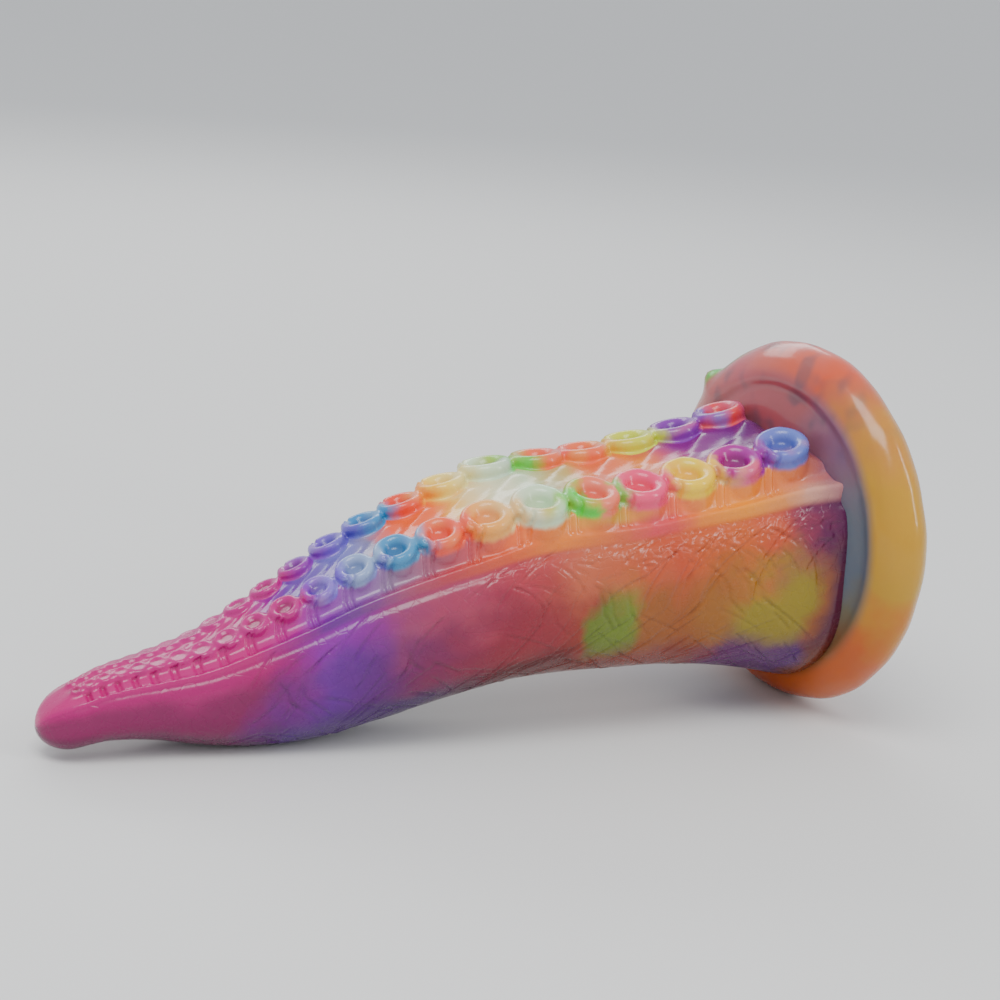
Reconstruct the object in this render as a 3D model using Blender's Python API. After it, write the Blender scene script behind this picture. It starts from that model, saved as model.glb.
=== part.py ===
"""Soft silicone octopus arm with two rows of suckers, curling out of a thick suction base.

The arm lies on its belly. +X runs from the tip to the base, +Y is sideways, +Z is up and the
floor is z = 0. The arm is cast from coloured pours of silicone, one behind the other, and each
sucker is a pour of its own that sits in a pocket in the top of the arm. All sizes are in metres.
"""

from math import acos, cos, pi, radians, sin, sqrt, tan

import bmesh
import bpy
from mathutils import Matrix, Vector

MM = 0.001

# Overall sizes.
ARM_LENGTH = 184 * MM
ARM_HEIGHT = 45 * MM
ARM_WIDTH = 48 * MM
FLANGE_RADIUS = 45 * MM

# Suction base: a thick round flange that leans a little towards the tip, and is turned a little
# to one side, so that it isn't quite square to the arm.
FLANGE_THICKNESS = 13 * MM
FLANGE_LEAN = radians(2.7)
FLANGE_TURN = radians(4.5)
FLANGE_FLOOR_SINK = 0.5 * MM
CUP_DEPTH = 8 * MM
CUP_FLOOR_RADIUS = 25 * MM
CUP_MOUTH_RADIUS = 32 * MM
ROOT_FILLET = 7 * MM
ROOT_EMBED = 2.5 * MM
FLANGE_SIDES = 48

# Where the arm leaves the flange, below the flange's centre.
ARM_ROOT_DROP = 10 * MM

# Suckers: the pairs near the flange are full size, and each later pair is smaller by one ratio.
# Where the shrinking starts follows from the others, so that the rows end at LAST_PAIR_GAP.
PAIR_COUNT = 22
FIRST_PAIR_GAP = 9.5 * MM
LAST_PAIR_GAP = 8.41 * MM
PAIR_PITCH = 12.9 * MM
PAIR_SHRINK = 0.91
ROW_SPACING = 25 * MM
ROW_NARROWING = 1.45
ROW_TILT = radians(10)
RIM_RADIUS_SHARE = 0.455
STALK_RADIUS_SHARE = 0.36
CUP_RADIUS_SHARE = 0.22
SUCKER_HEIGHT_SHARE = 0.52
SEAT_DEPTH_SHARE = 0.28
LEAST_ROW_GAP = 0.5 * MM

# Gaps between neighbouring pours.
POUR_GAP = 0.3 * MM
POCKET_CLEARANCE = 0.3 * MM

# Arm outline from the flange to the tip: share of the arm's length, then the section's height
# and width as shares of ARM_HEIGHT and ARM_WIDTH, then how high the belly is lifted off the
# floor as a share of the lift at mid-length. A lift below 0 is pressed flat on the floor.
ARM_OUTLINE = [
    (0.000, 1.32, 1.25, 0.54),
    (0.050, 1.23, 1.15, 0.71),
    (0.120, 1.10, 1.06, 0.88),
    (0.195, 1.01, 1.01, 0.98),
    (0.270, 0.95, 0.99, 1.00),
    (0.345, 0.92, 0.97, 1.00),
    (0.420, 0.90, 0.94, 0.92),
    (0.500, 0.87, 0.89, 0.66),
    (0.575, 0.85, 0.82, 0.35),
    (0.640, 0.81, 0.73, 0.08),
    (0.690, 0.73, 0.66, -0.04),
    (0.755, 0.60, 0.57, -0.04),
    (0.810, 0.47, 0.49, 0.07),
    (0.865, 0.37, 0.42, 0.23),
    (0.920, 0.31, 0.36, 0.28),
    (0.960, 0.28, 0.30, 0.16),
    (1.000, 0.26, 0.27, 0.10),
]
TIP_ROUNDING = 8 * MM
BED_SQUARENESS = 3.6
BELLY_ROUNDNESS = 2.2
RIDGE_HEIGHT = 1.0 * MM
RIDGE_ANGLE = radians(47)
RING_SPACING = 6.5 * MM

# Arm pours from the base to the tip: name, first and last sucker pair, colour, moving body.
POURS = [
    ("arm_root_flex", 2, 2, "amber", "root"),
    ("arm_root", 3, 4, "olive", "root"),
    ("arm_middle_flex", 5, 6, "orange", "middle"),
    ("arm_middle", 7, 8, "coral", "middle"),
    ("arm_fore", 9, 10, "violet", "middle"),
    ("arm_wrist", 11, 14, "magenta", "middle"),
    ("tip_flex", 15, 18, "magenta", "tip"),
    ("tip", 19, 22, "magenta", "tip"),
]

# Hinge places: the pair whose place each hinge shares, and its share of the way to the next.
PIVOT_PAIRS = {"root": (2, 0.0), "middle": (5, 0.5), "tip": (16, 0.5)}

COLOURS = {
    "amber": (0.85, 0.35, 0.12),
    "orange": (0.88, 0.24, 0.10),
    "olive": (0.55, 0.45, 0.10),
    "coral": (0.75, 0.07, 0.09),
    "violet": (0.16, 0.02, 0.22),
    "magenta": (0.55, 0.01, 0.12),
    "clear": (0.72, 0.42, 0.32),
    "blue": (0.12, 0.22, 0.60),
    "pale_blue": (0.55, 0.60, 0.75),
    "yellow": (0.85, 0.62, 0.12),
    "pink": (0.85, 0.25, 0.25),
    "cream": (0.88, 0.72, 0.45),
    "white": (0.80, 0.85, 0.78),
    "green": (0.30, 0.55, 0.12),
}
LEFT_COLOURS = ["blue", "magenta", "yellow", "pink", "green", "white", "cream", "coral", "blue", "pale_blue"]
RIGHT_COLOURS = ["pale_blue", "violet", "yellow", "orange", "green", "white", "cream", "coral", "blue", "violet"]

FLANGE_TUBE = FLANGE_THICKNESS / 2
FLANGE_CENTRE_HEIGHT = FLANGE_TUBE + (FLANGE_RADIUS - FLANGE_TUBE) * cos(FLANGE_LEAN) - FLANGE_FLOOR_SINK
ARM_LIFT = FLANGE_CENTRE_HEIGHT - ARM_ROOT_DROP - ARM_HEIGHT / 2
FLANGE_TILT = acos(cos(FLANGE_LEAN) * cos(FLANGE_TURN))
FLANGE_REACH = FLANGE_THICKNESS + (FLANGE_RADIUS - FLANGE_TUBE) * sin(FLANGE_TILT)
FLANGE_FACE_X = (ARM_LENGTH - FLANGE_REACH) / 2
TIP_X = FLANGE_FACE_X - ARM_LENGTH


def last_full_pair():
    """Where in the rows the shrinking starts, found by halving between two bounds."""
    run = ARM_LENGTH - FIRST_PAIR_GAP - LAST_PAIR_GAP
    low, high = 0.0, float(PAIR_COUNT)
    for _ in range(40):
        middle = (low + high) / 2
        reach = sum(PAIR_PITCH * PAIR_SHRINK ** max(0, k - middle) for k in range(2, PAIR_COUNT + 1))
        if reach < run:
            low = middle
        else:
            high = middle
    return low


LAST_FULL_PAIR = last_full_pair()


def clear_scene():
    for item in list(bpy.data.objects):
        bpy.data.objects.remove(item)


def add_object(name, bm, smooth_angle=radians(35)):
    bmesh.ops.recalc_face_normals(bm, faces=bm.faces)
    mesh = bpy.data.meshes.new(name)
    bm.to_mesh(mesh)
    bm.free()
    mesh.shade_smooth()
    mesh.set_sharp_from_angle(angle=smooth_angle)
    item = bpy.data.objects.new(name, mesh)
    bpy.context.collection.objects.link(item)
    return item


def make_guide(item):
    item.hide_render = True
    item.display_type = "WIRE"


def cut_or_join(target, guide, operation):
    make_guide(guide)
    boolean = target.modifiers.new(operation.lower() + "_" + guide.name, "BOOLEAN")
    boolean.operation = operation
    boolean.solver = "EXACT"
    boolean.object = guide


def silicone(colour):
    name = "silicone_" + colour
    material = bpy.data.materials.get(name)
    if material is None:
        material = bpy.data.materials.new(name)
        material.use_nodes = True
        shader = material.node_tree.nodes["Principled BSDF"]
        shader.inputs["Base Color"].default_value = (*COLOURS[colour], 1)
        shader.inputs["Roughness"].default_value = 0.25
        shader.inputs["Metallic"].default_value = 0
    return material


def outline_at(x):
    """Section height, width and belly height at x, from a smooth curve through ARM_OUTLINE."""
    share = min(max((FLANGE_FACE_X - x) / ARM_LENGTH, 0), 1)
    last = len(ARM_OUTLINE) - 1
    i = 0
    while i < last - 1 and ARM_OUTLINE[i + 1][0] < share:
        i += 1
    before, start, end, after = (ARM_OUTLINE[min(max(j, 0), last)] for j in (i - 1, i, i + 1, i + 2))
    span = end[0] - start[0]
    t = (share - start[0]) / span
    values = []
    for k in (1, 2, 3):
        slope_in = (end[k] - before[k]) / (end[0] - before[0]) * span
        slope_out = (after[k] - start[k]) / (after[0] - start[0]) * span
        value = (2 * t**3 - 3 * t**2 + 1) * start[k] + (t**3 - 2 * t**2 + t) * slope_in
        value += (3 * t**2 - 2 * t**3) * end[k] + (t**3 - t**2) * slope_out
        values.append(value)
    return values[0] * ARM_HEIGHT, values[1] * ARM_WIDTH, values[2] * ARM_LIFT


def half_sizes(x):
    """Centre height, half height and half width of the arm's section at x."""
    height, width, belly = outline_at(x)
    centre = belly + height / 2
    from_tip = max(x - TIP_X, 0)
    rounding = 1.0
    if from_tip < TIP_ROUNDING:
        rounding = sqrt(1 - (1 - from_tip / TIP_ROUNDING) ** 2)
    flare = 0.0
    from_flange = max(FLANGE_FACE_X - x, 0)
    if from_flange < ROOT_FILLET:
        flare = ROOT_FILLET - sqrt(ROOT_FILLET**2 - (ROOT_FILLET - from_flange) ** 2)
    return centre, height / 2 * rounding + flare, width / 2 * rounding + flare


def section(x):
    """Closed ring of points around the arm at x: square-shouldered bed, ridge, round belly."""
    centre, half_height, half_width = half_sizes(x)
    size_share = min(half_width / (ARM_WIDTH / 2), 1)
    bead_step = radians(5)
    half = [-90, -68, -46, -24, -4, 16, 32]
    angles = [radians(a) for a in half] + [RIDGE_ANGLE - bead_step, RIDGE_ANGLE, RIDGE_ANGLE + bead_step]
    angles += [radians(a) for a in (62, 75, 90)]
    angles += [pi - a for a in reversed(angles[1:-1])]
    points = []
    for angle in angles:
        power = 2 / (BED_SQUARENESS if sin(angle) > 0 else BELLY_ROUNDNESS)
        side = 1 if cos(angle) >= 0 else -1
        rise = 1 if sin(angle) >= 0 else -1
        across = side * abs(cos(angle)) ** power * half_width
        up = rise * abs(sin(angle)) ** power * half_height
        fold = angle if angle <= pi / 2 else pi - angle
        if abs(fold - RIDGE_ANGLE) < bead_step / 2:
            across += side * RIDGE_HEIGHT * size_share * cos(RIDGE_ANGLE)
            up += RIDGE_HEIGHT * size_share * sin(RIDGE_ANGLE)
        points.append(Vector((x, across, centre + up)))
    return points


def loft(bm, places):
    rings = [[bm.verts.new(point) for point in section(x)] for x in places]
    for ring, following in zip(rings, rings[1:]):
        for i in range(len(ring)):
            j = (i + 1) % len(ring)
            bm.faces.new((ring[i], ring[j], following[j], following[i]))
    bm.faces.new(rings[0])
    bm.faces.new(list(reversed(rings[-1])))


def spaced(start, end):
    steps = max(1, round(abs(start - end) / RING_SPACING))
    return [start + (end - start) * i / steps for i in range(steps + 1)]


def tip_places(start):
    """Ring places that crowd towards the rounded tip."""
    places = spaced(start, TIP_X + TIP_ROUNDING)
    for share in (0.72, 0.48, 0.28, 0.13, 0.04, 0.005):
        places.append(TIP_X + TIP_ROUNDING * share)
    return places


def pair_pitch(pair):
    return PAIR_PITCH * PAIR_SHRINK ** max(0, pair - LAST_FULL_PAIR)


def pair_x(pair):
    x = FLANGE_FACE_X - FIRST_PAIR_GAP
    for k in range(2, int(pair) + 1):
        x -= pair_pitch(k)
    return x


def seam_after(pair):
    return (pair_x(pair) + pair_x(pair + 1)) / 2


def bed_height(x, across):
    centre, half_height, half_width = half_sizes(x)
    share = min(abs(across) / half_width, 0.98)
    return centre + half_height * (1 - share**BED_SQUARENESS) ** (1 / BED_SQUARENESS)


def sucker_frame(pair, side):
    """Where a sucker stands on the bed; its own Z points out of its mouth."""
    pitch = pair_pitch(pair)
    narrowing = (pitch / PAIR_PITCH) ** ROW_NARROWING
    least = pitch * RIM_RADIUS_SHARE + LEAST_ROW_GAP
    across = side * max(ROW_SPACING / 2 * narrowing, least)
    x = pair_x(pair)
    step = pitch / 2
    slope = (bed_height(x + step, across) - bed_height(x - step, across)) / (2 * step)
    along = Vector((1, 0, slope)).normalized()
    outward = Matrix.Rotation(-side * ROW_TILT, 3, along)
    up = outward @ along.cross(Vector((0, 1, 0))).normalized()
    sideways = up.cross(along)
    frame = Matrix((along, sideways, up)).transposed().to_4x4()
    frame.translation = Vector((x, across, bed_height(x, across)))
    return frame


def turned(profile, sides):
    """Spin a profile of (radius, height) points about Z into a closed body."""
    bm = bmesh.new()
    verts = [bm.verts.new((radius, 0, height)) for radius, height in profile]
    edges = [bm.edges.new(pair) for pair in zip(verts, verts[1:])]
    bmesh.ops.spin(bm, geom=verts + edges, cent=(0, 0, 0), axis=(0, 0, 1), angle=2 * pi, steps=sides)
    bmesh.ops.remove_doubles(bm, verts=bm.verts, dist=0.00001)
    return bm


def sucker_profile(pitch):
    rim = pitch * RIM_RADIUS_SHARE
    stalk = pitch * STALK_RADIUS_SHARE
    mouth = pitch * CUP_RADIUS_SHARE
    top = pitch * SUCKER_HEIGHT_SHARE
    seat = -pitch * SEAT_DEPTH_SHARE + POCKET_CLEARANCE
    return [
        (0, seat),
        (stalk, seat),
        (stalk, top * 0.45),
        (rim, top * 0.76),
        (rim * 0.85, top),
        (rim * 0.65, top),
        (mouth, top * 0.78),
        (mouth * 0.8, top * 0.5),
        (0, top * 0.42),
    ]


def sucker_sides(pitch):
    return 12 if pitch > 6 * MM else 8


def sucker_name(pair, side):
    return "sucker_%s_%02d" % ("left" if side < 0 else "right", pair)


def sucker_mesh(pitch):
    name = "sucker_%.1f_mm" % (pitch / MM)
    mesh = bpy.data.meshes.get(name)
    if mesh is None:
        bm = turned(sucker_profile(pitch), sucker_sides(pitch))
        bmesh.ops.recalc_face_normals(bm, faces=bm.faces)
        mesh = bpy.data.meshes.new(name)
        bm.to_mesh(mesh)
        bm.free()
        mesh.shade_smooth()
        mesh.set_sharp_from_angle(angle=radians(50))
    return mesh


def make_sucker(pair, side, pivot):
    colours = LEFT_COLOURS if side < 0 else RIGHT_COLOURS
    colour = colours[pair - 1] if pair <= len(colours) else "magenta"
    item = bpy.data.objects.new(sucker_name(pair, side), sucker_mesh(pair_pitch(pair)))
    bpy.context.collection.objects.link(item)
    if not item.data.materials:
        item.data.materials.append(None)
    item.material_slots[0].link = "OBJECT"
    item.material_slots[0].material = silicone(colour)
    place_under(item, pivot, sucker_frame(pair, side))


def pockets_for(name, first, last):
    """One guide that holds the pockets of several pairs, each a little wider than its stalk."""
    bm = bmesh.new()
    for pair in range(first, last + 1):
        pitch = pair_pitch(pair)
        radius = pitch * STALK_RADIUS_SHARE + POCKET_CLEARANCE
        depth = pitch * SEAT_DEPTH_SHARE
        height = depth + pitch
        for side in (-1, 1):
            frame = sucker_frame(pair, side) @ Matrix.Translation((0, 0, height / 2 - depth))
            bmesh.ops.create_cone(
                bm,
                cap_ends=True,
                segments=sucker_sides(pitch),
                radius1=radius,
                radius2=radius,
                depth=height,
                matrix=frame,
            )
    return add_object("pockets_" + name, bm)


def floor_block():
    bm = bmesh.new()
    depth = 20 * MM
    bmesh.ops.create_cube(bm, size=1, matrix=Matrix.Diagonal((3 * ARM_LENGTH, 2 * ARM_LENGTH, depth, 1)))
    bmesh.ops.translate(bm, verts=bm.verts, vec=(0, 0, -depth / 2))
    block = add_object("floor_block", bm)
    make_guide(block)
    return block


def place_under(item, pivot, frame):
    """Put an object at a world frame, under a pivot empty that is neither turned nor scaled."""
    item.parent = pivot
    offset = Vector((0, 0, 0))
    holder = pivot
    while holder is not None:
        offset += holder.location
        holder = holder.parent
    item.location = frame.translation - offset
    item.rotation_euler = frame.to_euler()


def make_pivots():
    """Empties on the three hinge axes, each under the one nearer the base."""
    pivots = {}
    holder = None
    for body, (pair, share) in PIVOT_PAIRS.items():
        x = pair_x(pair) + share * (pair_x(pair + 1) - pair_x(pair))
        centre = half_sizes(x)[0]
        pivot = bpy.data.objects.new("pivot_" + body, None)
        bpy.context.collection.objects.link(pivot)
        place_under(pivot, holder, Matrix.Translation((x, 0, centre)))
        pivots[body] = pivot
        holder = pivot
    return pivots


def follow_face(bm):
    """Slant the last rings of the arm's root so that they lie along the flange's front face."""
    for vertex in bm.verts:
        lead = min(max((vertex.co.x - FLANGE_FACE_X) / ROOT_FILLET + 1, 0), 1)
        rise = vertex.co.z - FLANGE_CENTRE_HEIGHT
        slant = vertex.co.y * tan(FLANGE_TURN) + rise * tan(FLANGE_LEAN) / cos(FLANGE_TURN)
        vertex.co.x -= lead * slant


def make_suction_base(floor):
    """Round-edged flange with a hollow underside, and the flared root of the arm on its face."""
    tube = FLANGE_TUBE
    ring = FLANGE_RADIUS - tube
    profile = [(0, tube - CUP_DEPTH), (CUP_FLOOR_RADIUS, tube - CUP_DEPTH), (CUP_MOUTH_RADIUS, tube)]
    for i in range(9):
        angle = pi / 2 - pi * i / 8
        profile.append((ring + tube * cos(angle), tube * sin(angle)))
    profile.append((0, -tube))
    bm = turned(list(reversed(profile)), FLANGE_SIDES)
    base = add_object("suction_base", bm)
    base.location = (FLANGE_FACE_X + tube, 0, FLANGE_CENTRE_HEIGHT)
    base.rotation_euler = (0, pi / 2 - FLANGE_LEAN, FLANGE_TURN)

    bm = bmesh.new()
    seam = seam_after(1)
    fillet_places = [FLANGE_FACE_X - ROOT_FILLET * share for share in (0.55, 0.25, 0.08, 0)]
    places = spaced(seam, FLANGE_FACE_X - ROOT_FILLET) + fillet_places + [FLANGE_FACE_X + ROOT_EMBED]
    loft(bm, list(reversed(places)))
    follow_face(bm)
    root = add_object("arm_root_flare", bm)
    cut_or_join(base, root, "UNION")
    cut_or_join(base, pockets_for("suction_base", 1, 1), "DIFFERENCE")
    cut_or_join(base, floor, "DIFFERENCE")
    base.data.materials.append(silicone("clear"))


def make_pour(name, first, last, colour, pivot, floor):
    start = seam_after(first - 1) - POUR_GAP
    is_tip = last == PAIR_COUNT
    places = tip_places(start) if is_tip else spaced(start, seam_after(last))
    bm = bmesh.new()
    loft(bm, places)
    pour = add_object(name, bm)
    cut_or_join(pour, pockets_for(name, first, last), "DIFFERENCE")
    lowest = min(vertex.co.z for vertex in pour.data.vertices)
    if lowest < 0:
        cut_or_join(pour, floor, "DIFFERENCE")
    pour.data.materials.append(silicone(colour))
    place_under(pour, pivot, Matrix())


def main():
    clear_scene()
    floor = floor_block()
    pivots = make_pivots()
    make_suction_base(floor)
    for side in (-1, 1):
        make_sucker(1, side, None)
    for name, first, last, colour, body in POURS:
        make_pour(name, first, last, colour, pivots[body], floor)
        for pair in range(first, last + 1):
            for side in (-1, 1):
                make_sucker(pair, side, pivots[body])


main()
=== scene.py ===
"""Looks of the soft octopus arm: one marbled silicone casting on a thick, clearer suction base.

The skin of the arm is modelled once, whole, and then split into four pieces. Sizes are in
millimetres until a mesh is finished.
"""

from functools import partial
from math import cos, pi, radians, sin, sqrt

import bpy
import numpy as np
from mathutils import Matrix, Vector
from mathutils.kdtree import KDTree


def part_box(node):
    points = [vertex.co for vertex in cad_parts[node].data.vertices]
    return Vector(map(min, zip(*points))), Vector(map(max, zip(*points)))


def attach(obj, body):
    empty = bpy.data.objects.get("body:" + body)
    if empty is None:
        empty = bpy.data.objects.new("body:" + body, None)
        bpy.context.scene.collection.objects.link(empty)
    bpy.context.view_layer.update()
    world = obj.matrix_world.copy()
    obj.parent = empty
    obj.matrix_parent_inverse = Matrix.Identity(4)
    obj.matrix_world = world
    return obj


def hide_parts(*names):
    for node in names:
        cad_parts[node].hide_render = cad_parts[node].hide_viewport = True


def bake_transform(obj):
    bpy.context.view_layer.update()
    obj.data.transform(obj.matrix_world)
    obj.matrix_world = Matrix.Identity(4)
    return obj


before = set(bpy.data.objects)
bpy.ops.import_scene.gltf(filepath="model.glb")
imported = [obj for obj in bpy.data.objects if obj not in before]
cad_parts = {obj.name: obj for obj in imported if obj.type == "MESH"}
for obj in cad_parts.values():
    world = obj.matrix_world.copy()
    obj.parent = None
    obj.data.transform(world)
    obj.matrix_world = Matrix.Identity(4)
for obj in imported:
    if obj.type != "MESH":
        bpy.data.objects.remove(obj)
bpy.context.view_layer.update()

MM = 0.001

# ---------------------------------------------------------------- sizes, in millimetres

ARM_HEIGHT = 45
ARM_WIDTH = 48
FLANGE_LEAN = radians(2.7)
FLANGE_TURN = radians(4.5)
FLANGE_HALF = 6.5
ARM_ROOT_DROP = 10
TIP_ROUNDING = 8
BED_SQUARENESS = 3.6
BELLY_ROUNDNESS = 2.2

# Share of the arm's length from the flange, section height and width, belly lift: as the frame's.
ARM_OUTLINE = np.array([
    (0.000, 1.32, 1.25, 0.54),
    (0.050, 1.23, 1.15, 0.71),
    (0.120, 1.10, 1.06, 0.88),
    (0.195, 1.01, 1.01, 0.98),
    (0.270, 0.95, 0.99, 1.00),
    (0.345, 0.92, 0.97, 1.00),
    (0.420, 0.90, 0.94, 0.92),
    (0.500, 0.87, 0.89, 0.66),
    (0.575, 0.85, 0.82, 0.35),
    (0.640, 0.81, 0.73, 0.08),
    (0.690, 0.73, 0.66, -0.04),
    (0.755, 0.60, 0.57, -0.04),
    (0.810, 0.47, 0.49, 0.07),
    (0.865, 0.37, 0.42, 0.23),
    (0.920, 0.31, 0.36, 0.28),
    (0.960, 0.28, 0.30, 0.16),
    (1.000, 0.26, 0.27, 0.10),
])

# The ridge is a bead along each shoulder, and the bed above it lies a little lower.
RIDGE_ANGLE = 47
RIDGE_RISE = 1.5
RIDGE_HALF_ANGLE = 4.2
GROOVE_ANGLE = 36
GROOVE_DEPTH = 0.7
SKIN_VOXEL = 0.36

# The suckers' feet run together into a raised bed, a little lower along its middle.
BED_RISE_SHARE = 0.38
BED_DIP_SHARE = 0.10
BED_EDGE_SHARE = 0.46

PAIR_COUNT = 22
FIRST_PITCH = 12.9
ROW_TILT = radians(10)
LAST_WEB_PAIR = 16

# Suckers sit in the bed by a share of their pitch, and the small ones past the last open pair sit deeper.
SUCKER_SINK = 0.12
LAST_OPEN_PAIR = 9
SMALL_SUCKER_SINK = 0.035
DEEPEST_SINK = 0.3

# Creases on each flank, and crumples under each ridge.
CREASE_COUNT = 165
CRUMPLE_COUNT = 260
CREASE_BOW = 0.03

# A small lump on the flange's far edge.
NUB_ANGLE = radians(38)
NUB_RISE = 2.8
NUB_RADIUS = 3.0


def box_mm(node):
    low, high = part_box(node)
    return np.array(low) / MM, np.array(high) / MM


# The tilted flange is a ring of its half thickness, so its box gives its ring, centre and face.
TIP_X = box_mm("tip")[0][0]
BASE_LOW, BASE_HIGH = box_mm("suction_base")
SEEN_ACROSS = sqrt(1 - (cos(FLANGE_LEAN) * sin(FLANGE_TURN)) ** 2)
SEEN_ALONG = sqrt(1 - (cos(FLANGE_LEAN) * cos(FLANGE_TURN)) ** 2)
RIM_RING = ((BASE_HIGH[1] - BASE_LOW[1]) / 2 - FLANGE_HALF) / SEEN_ACROSS
FLANGE_RADIUS = RIM_RING + FLANGE_HALF
FLANGE_X = BASE_HIGH[0] - RIM_RING * SEEN_ALONG - FLANGE_HALF
FLANGE_Z = BASE_HIGH[2] - RIM_RING * cos(FLANGE_LEAN) - FLANGE_HALF
FACE_X = FLANGE_X - FLANGE_HALF
ARM_LENGTH = FACE_X - TIP_X
ARM_LIFT = FLANGE_Z - ARM_ROOT_DROP - ARM_HEIGHT / 2


def sucker_name(pair, side):
    return "sucker_%s_%02d" % ("left" if side < 0 else "right", pair)


def row_tables():
    """Place, pitch and distance from the middle of each pair, tip first."""
    rows = []
    for pair in range(PAIR_COUNT, 0, -1):
        low, high = box_mm(sucker_name(pair, 1))
        middle, half = (low + high) / 2, (high[1] - low[1]) / 2
        rows.append((middle[0], half, middle[1]))
    place, half, across = np.array(rows).T
    return place, half / half[-1] * FIRST_PITCH, across


ROW_X, ROW_PITCH, ROW_ACROSS = row_tables()


# ---------------------------------------------------------------- the arm's outline

def outline(x):
    """Centre height, half height and half width of the arm at each x."""
    share = np.clip((FACE_X - np.asarray(x, float)) / ARM_LENGTH, 0, 1)
    knots = ARM_OUTLINE[:, 0]
    last = len(knots) - 1
    i = np.clip(np.searchsorted(knots, share, side="left") - 1, 0, last - 1)
    before, start = ARM_OUTLINE[np.maximum(i - 1, 0)], ARM_OUTLINE[i]
    end, after = ARM_OUTLINE[i + 1], ARM_OUTLINE[np.minimum(i + 2, last)]
    span = (end[..., :1] - start[..., :1])
    t = (share[..., None] - start[..., :1]) / span
    slope_in = (end - before) / (end[..., :1] - before[..., :1]) * span
    slope_out = (after - start) / (after[..., :1] - start[..., :1]) * span
    value = (2 * t**3 - 3 * t**2 + 1) * start + (t**3 - 2 * t**2 + t) * slope_in
    value = value + (3 * t**2 - 2 * t**3) * end + (t**3 - t**2) * slope_out
    height, width, lift = value[..., 1] * ARM_HEIGHT, value[..., 2] * ARM_WIDTH, value[..., 3] * ARM_LIFT
    short = np.clip((np.asarray(x, float) - TIP_X) / TIP_ROUNDING, 0, 1)
    rounding = np.sqrt(np.maximum(1 - (1 - short) ** 2, 0))
    return lift + height / 2, height / 2 * rounding, width / 2 * rounding


def bump(value, centre, half_width):
    return np.exp(-(((value - centre) / half_width) ** 2))


def soft_step(value, start, end):
    t = np.clip((value - start) / (end - start), 0, 1)
    return t * t * (3 - 2 * t)


def row_at(x):
    """Pitch of the sucker rows and their distance from the middle, at each x."""
    return np.interp(x, ROW_X, ROW_PITCH), np.interp(x, ROW_X, ROW_ACROSS)


def section_point(x, angle):
    """Points of the arm's skin at x and at an angle in degrees, -90 at the belly and 90 on the bed."""
    centre, half_height, half_width = outline(x)
    fold = np.where(np.abs(angle) > 90, np.sign(angle) * 180 - angle, angle)
    side = np.where(np.abs(angle) > 90, -1, 1)
    turn = np.radians(fold)
    power = np.where(fold > 0, 2 / BED_SQUARENESS, 2 / BELLY_ROUNDNESS)
    size = np.clip(half_width / (ARM_WIDTH / 2), 0, 1.1)
    rise = RIDGE_RISE * bump(fold, RIDGE_ANGLE, RIDGE_HALF_ANGLE)
    rise = rise - GROOVE_DEPTH * bump(fold, GROOVE_ANGLE, 4.5)
    rise = rise * size
    out, up = np.cos(turn), np.sin(turn)
    across = np.abs(out) ** power * half_width + rise * out
    height = np.sign(up) * np.abs(up) ** power * half_height + rise * np.clip(up, 0, 1)
    pitch, row = row_at(x)
    edge = row + BED_EDGE_SHARE * pitch
    bed = BED_RISE_SHARE * soft_step(-across, -edge - 0.6, -edge + 0.14 * pitch)
    bed = bed - BED_DIP_SHARE * bump(across, 0, 0.5 * row)
    bed = bed * soft_step(x, TIP_X + 3, TIP_X + 10) * (1 - 0.8 * soft_step(x, FACE_X - 9, FACE_X))
    height = height + np.where(fold > RIDGE_ANGLE, bed * pitch, 0)
    return np.stack([x, side * across, centre + height], -1)


def fold_angle(points):
    """The section angle of points on or near the skin, in degrees."""
    centre, half_height, half_width = outline(points[:, 0])
    up = (points[:, 2] - centre) / np.maximum(half_height, 0.1)
    out = np.abs(points[:, 1]) / np.maximum(half_width, 0.1)
    power = np.where(up > 0, BED_SQUARENESS / 2, BELLY_ROUNDNESS / 2)
    return np.degrees(np.arctan2(np.sign(up) * np.abs(up) ** power, out**power))


# ---------------------------------------------------------------- modelling helpers

def deselect_all():
    if bpy.context.object and bpy.context.object.mode != "OBJECT":
        bpy.ops.object.mode_set(mode="OBJECT")
    bpy.ops.object.select_all(action="DESELECT")


def pick(*items):
    deselect_all()
    for item in items:
        item.select_set(True)
    bpy.context.view_layer.objects.active = items[0]


def join(name, items):
    pick(*items)
    bpy.ops.object.join()
    items[0].name = name
    return items[0]


def finish_modifiers(item):
    pick(item)
    for modifier in list(item.modifiers):
        bpy.ops.object.modifier_apply(modifier=modifier.name)


def points_of(item):
    values = np.empty(len(item.data.vertices) * 3)
    item.data.vertices.foreach_get("co", values)
    return values.reshape(-1, 3)


def move_points(item, points):
    item.data.vertices.foreach_set("co", points.ravel())
    item.data.update()


def normals_of(item):
    values = np.empty(len(item.data.vertices) * 3, np.float32)
    item.data.vertex_normals.foreach_get("vector", values)
    return values.reshape(-1, 3).astype(float)


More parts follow.
